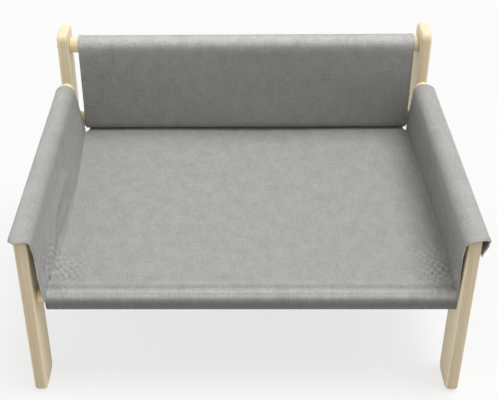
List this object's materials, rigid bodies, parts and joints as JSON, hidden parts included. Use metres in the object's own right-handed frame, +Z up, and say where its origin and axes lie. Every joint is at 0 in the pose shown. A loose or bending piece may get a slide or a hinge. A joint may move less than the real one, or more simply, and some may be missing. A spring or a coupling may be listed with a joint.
{
  "type": "elevated pet sofa",
  "caption": "Raised pet bed in the form of a small sofa: a woven sling cover hung on round wooden rails between upright boards, with arms and a backrest.",
  "frame": {"origin": "on the floor, under the middle of the whole sofa", "axes": "+X to the right as seen from the front, -Y towards the front, +Z up"},
  "size_m": [0.5429, 0.4428, 0.313],
  "materials": {
    "birch_board": "sanded, clear matt",
    "birch_rail": "sanded, bare",
    "beech_pin": "bare, turned",
    "grey_linen_weave": "matt plain weave with mottled yarns",
    "zinc_plated_steel": "zinc plated",
    "yellow_zinc_insert": "yellow zinc plated"
  },
  "bodies": {
    "root": {"front_left_leg": "birch_board", "front_right_leg": "birch_board", "rear_left_leg": "birch_board", "rear_right_leg": "birch_board", "front_rail": "birch_rail", "rear_rail": "birch_rail", "back_rail": "birch_rail", "left_arm_rail": "birch_rail", "left_side_rail": "birch_rail", "right_arm_rail": "birch_rail", "right_side_rail": "birch_rail", "seat_cover": "grey_linen_weave", "backrest_cover": "grey_linen_weave", "left_arm_cover": "grey_linen_weave", "right_arm_cover": "grey_linen_weave", "bolt_front_left": "zinc_plated_steel", "insert_front_left": "yellow_zinc_insert", "bolt_front_right": "zinc_plated_steel", "insert_front_right": "yellow_zinc_insert", "bolt_rear_left": "zinc_plated_steel", "insert_rear_left": "yellow_zinc_insert", "bolt_rear_right": "zinc_plated_steel", "insert_rear_right": "yellow_zinc_insert", "bolt_back_left": "zinc_plated_steel", "insert_back_left": "yellow_zinc_insert", "bolt_back_right": "zinc_plated_steel", "insert_back_right": "yellow_zinc_insert", "long_bolt_left_arm": "zinc_plated_steel", "insert_left_arm": "yellow_zinc_insert", "pin_left_arm": "beech_pin", "long_bolt_left_side": "zinc_plated_steel", "insert_left_side": "yellow_zinc_insert", "pin_left_side": "beech_pin", "long_bolt_right_arm": "zinc_plated_steel", "insert_right_arm": "yellow_zinc_insert", "pin_right_arm": "beech_pin", "long_bolt_right_side": "zinc_plated_steel", "insert_right_side": "yellow_zinc_insert", "pin_right_side": "beech_pin"}
  },
  "joints": []
}
